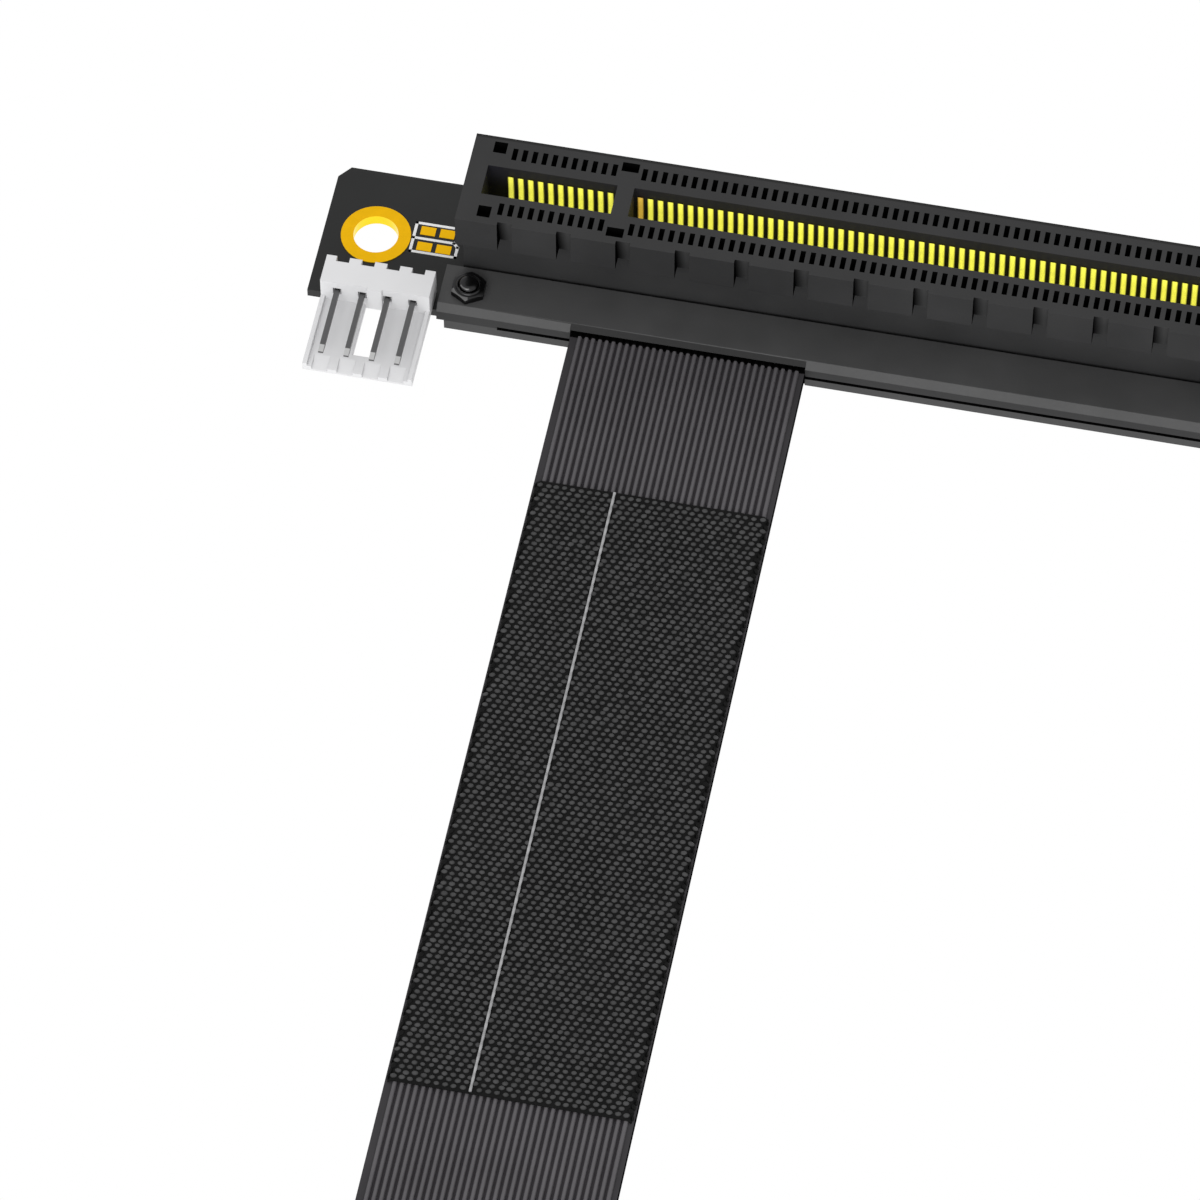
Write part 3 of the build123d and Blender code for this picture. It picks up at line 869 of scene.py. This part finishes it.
def sleeve():
    rng = np.random.RandomState(SEED)
    points, faces = ground()
    # The ground takes the painted shade
    face_materials = [SHADED] * len(faces)
    columns = round(perimeter / FLOAT_PITCH)
    step = perimeter / columns
    rows = int((sleeve_length - END_ROOM) / FLOAT_ROW) + 1
    first = (sleeve_length - (rows - 1) * FLOAT_ROW) / 2
    for row in range(rows):
        for column in range(columns):
            jitter = rng.normal(0, 1, 5)
            s = (column - row % TWILL / TWILL) * step + PLACE_JITTER * jitter[0]
            y = sleeve_high[1] - first - row * FLOAT_ROW + PLACE_JITTER * jitter[1]
            (x, z), out = around(s)
            x += sleeve_centre[0]
            z += sleeve_centre[1]
            if out[1] > HALFWAY and abs(x - tracer_x) < TRACER_CLEAR:
                continue
            faces += float_faces(len(points))
            points += float_points(x, y, z, out, jitter[2:])
            # Painted shade: on the flat sides a float grows lighter towards its middle, and on
            # the rounded sides it stays shaded
            flat = abs(out[1]) > STRAIGHT
            for kind in (SHADED, HALF_SHADED, LIT) if flat else (SHADED, SHADED, SHADED):
                face_materials += [kind] * FLOAT_SIDES
    obj = piece(
        "woven_sleeve",
        points,
        faces,
        (weave_lit, weave_shade, weave_half_shade),
        "sleeve_braid",
        face_materials,
        SLEEVE_CREASE,
    )
    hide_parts("cable_sleeve")


sleeve()

# Tracer: one thread that rises over every other row

TRACER_RADIUS = 0.135
TRACER_FLATNESS = 0.9
TRACER_SIDES = 8
TRACER_STEP = 0.145
TRACER_END = 0.15
TRACER_LIFT = 0.03
TRACER_SWELL = 0.1
TRACER_SWAY = 0.012
TRACER_RISE = 0.04


def tracer():
    base = tracer_low[2] - GROUND_DEPTH + TRACER_LIFT
    length = tracer_high[1] - tracer_low[1] - 2 * TRACER_END
    steps = int(length / TRACER_STEP)
    points = []
    for k in range(steps + 1):
        y = tracer_high[1] - TRACER_END - k * length / steps
        wave = math.cos(2 * math.pi * (tracer_high[1] - y) / (2 * FLOAT_ROW))
        radius = TRACER_RADIUS * (1 + TRACER_SWELL * wave)
        x = tracer_x + TRACER_SWAY * wave
        z = base + TRACER_RISE * wave
        for i in range(TRACER_SIDES):
            angle = 2 * math.pi * i / TRACER_SIDES
            rise = radius * TRACER_FLATNESS * (1 + math.sin(angle))
            points.append((x + radius * math.cos(angle), y, z + rise))
    faces = tube(steps + 1, TRACER_SIDES)
    obj = piece("tracer_line", points, faces, (tracer_thread,), "tracer_grey")
    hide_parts("sleeve_tracer")


tracer()

# Fasteners: rings of points turned round one axis

TURN_STEPS = 48
NUT_HALF_FLATS = 1.6
NUT_CORNER_DROP = 0.08
NUT_CORNER_SLOPE = 0.62
NUT_FACE = (0.93, 0.02)
STUD_RADIUS = 0.9
PLAIN, HIGHLIT = range(2)

# Profiles as steps in radius and height: the nut's raised ring down to the stud, then the
# screw's socket, head, threaded stud and tip
RING_PROFILE = ((1.3, -0.02), (1.24, 0.1), (1.14, 0.13), (1.04, 0.1), (0.97, -0.1))
RING_FOOT = (-0.02, -0.12)
SOCKET_PROFILE = ((0.7, 0.45), (0.72, 0.02))
HEAD_PROFILE = ((-0.22, 0.0), (-0.06, 0.06), (0.0, 0.24), (0.0, 0.9))
HEAD_HEIGHT = 0.9
STUD_PROFILE = ((0.0, -0.05), (-0.07, 0.06), (0.0, 0.17), (-0.07, 0.28))
TIP_PROFILE = ((-0.02, -0.14), (-0.13, -0.04), (-0.4, 0.02))
TIP_END = (0.2, 0.04)

# The bands between rings that carry a painted highlight, each from one angle to another in
# degrees
NUT_HIGHLIGHTS = {1: (195, 272), 4: (25, 75), 5: (205, 290)}
SCREW_HIGHLIGHTS = {10: (200, 300), 11: (205, 285)}


def hex_radius(angle):
    """Distance from the middle to the side of a hexagon that has a flat facing along X."""
    turn = (angle + math.pi / 6) % (math.pi / 3) - math.pi / 6
    return NUT_HALF_FLATS / math.cos(turn)


def steps_from(radius, height, profile):
    return [(radius + wider, height + higher) for wider, higher in profile]


def turned(centres, rings):
    """Points and faces of one shape at each centre. A ring is a radius and a height, and
    either can be a function of the angle."""
    points, faces = [], []
    for x, y in centres:
        start = len(points)
        for radius, height in rings:
            for i in range(TURN_STEPS):
                angle = 2 * math.pi * i / TURN_STEPS
                r = radius(angle) if callable(radius) else radius
                z = height(angle) if callable(height) else height
                points.append((x + r * math.cos(angle), y + r * math.sin(angle), z))
        faces += [[start + i for i in face] for face in tube(len(rings), TURN_STEPS)]
    return points, faces


def highlight_faces(bands, lit_bands, copies):
    """Material of each face: the painted highlight on the named bands, between the two angles
    of each.
    """
    one = []
    for level in range(bands):
        start, end = lit_bands.get(level, (0, 0))
        for i in range(TURN_STEPS):
            one.append(HIGHLIT if start < 360 * i / TURN_STEPS < end else PLAIN)
    return (one + [PLAIN, PLAIN]) * copies


def fasteners(end):
    nuts_low, nuts_high = box_mm(f"{end}_clamp_nuts")
    screws_low, screws_high = box_mm(f"{end}_clamp_screws")
    y = (nuts_low[1] + nuts_high[1]) / 2
    half = NUT_HALF_FLATS
    centres = [(nuts_low[0] + half, y), (nuts_high[0] - half, y)]
    top, tip, head = nuts_high[2], screws_high[2], screws_low[2]
    head_radius = (screws_high[1] - screws_low[1]) / 2

    def shoulder(angle):
        return top - NUT_CORNER_DROP - NUT_CORNER_SLOPE * (hex_radius(angle) - half)

    nut = [
        (hex_radius, nuts_low[2]),
        (hex_radius, shoulder),
        (half * NUT_FACE[0], top - NUT_FACE[1]),
        *steps_from(0, top, RING_PROFILE),
        *steps_from(STUD_RADIUS, top, [RING_FOOT]),
    ]
    screw = [
        *steps_from(0, head, SOCKET_PROFILE),
        *steps_from(head_radius, head, HEAD_PROFILE),
        (STUD_RADIUS, head + HEAD_HEIGHT),
        *steps_from(STUD_RADIUS, top, STUD_PROFILE),
        *steps_from(STUD_RADIUS, tip, TIP_PROFILE),
        *steps_from(0, tip, [TIP_END]),
    ]
    for name, rings, lit_bands in (("nuts", nut, NUT_HIGHLIGHTS), ("screws", screw, SCREW_HIGHLIGHTS)):
        obj = piece(
            f"{end}_{name}",
            *turned(centres, rings),
            (screw_dark, screw_highlight),
            "screw_steel",
            highlight_faces(len(rings) - 1, lit_bands, len(centres)),
        )
        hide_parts(f"{end}_clamp_{name}")


fasteners("slot")
fasteners("plug")

# Printed outline round the four pads: the upper box is open on its right, as in the photo

LINE = 0.29
PRINT_RISE = 0.015
PRINT_CREASE = 30
PRINT_FROM_EDGE = 1.9
BOX_X = (-5.48, -0.92)
BOX_V = (3.6, 5.45, 7.15)
BOX_CORNER = 0.45
BOX_OPEN = 0.25


def printed_lines():
    left = slot_low[0] + BOX_X[0]
    end = slot_low[0] + BOX_X[1]
    top, divider, foot = (board_high[1] - PRINT_FROM_EDGE - v for v in BOX_V)
    paths = (
        ((end - BOX_OPEN, top), (left, top), (left, foot), (end, foot)),
        ((end, foot), (end, divider - BOX_CORNER), (end - BOX_CORNER, divider)),
        ((end - BOX_CORNER, divider), (left, divider)),
    )
    points, faces = [], []
    for path in paths:
        for (x0, y0), (x1, y1) in zip(path, path[1:]):
            long = math.hypot(x1 - x0, y1 - y0)
            dx, dy = (x1 - x0) / long * LINE / 2, (y1 - y0) / long * LINE / 2
            corners = (
                (x0 - dx - dy, y0 - dy + dx),
                (x0 - dx + dy, y0 - dy - dx),
                (x1 + dx + dy, y1 + dy - dx),
                (x1 + dx - dy, y1 + dy + dx),
            )
            start = len(points)
            for z in (board_high[2], board_high[2] + PRINT_RISE):
                points += [(x, y, z) for x, y in corners]
            faces.append([start + i for i in (3, 2, 1, 0)])
            faces.append([start + i for i in (4, 5, 6, 7)])
            faces += band(start, start + 4, 4)
    piece(
        "printed_outline",
        points,
        faces,
        (print_white,),
        "header_white",
        crease=PRINT_CREASE,
    )


printed_lines()

# Floor

FLOOR_SIZE = 6.0
FLOOR_DROP = 0.0001
FLOOR_ROUGHNESS = 0.9

bpy.ops.mesh.primitive_plane_add(size=FLOOR_SIZE, location=(0, 0, -FLOOR_DROP))
floor = bpy.context.object
floor.name = "floor"
floor_shader = Shader("floor")
floor_shader.value("Base Color", (0, 0, 0, 1))
floor_shader.value("Roughness", FLOOR_ROUGHNESS)
floor_shader.value("Specular IOR Level", 0.0)
floor_shader.value("Emission Color", WHITE)
floor_shader.value("Emission Strength", 1.0)
floor.data.materials.append(floor_shader.material)
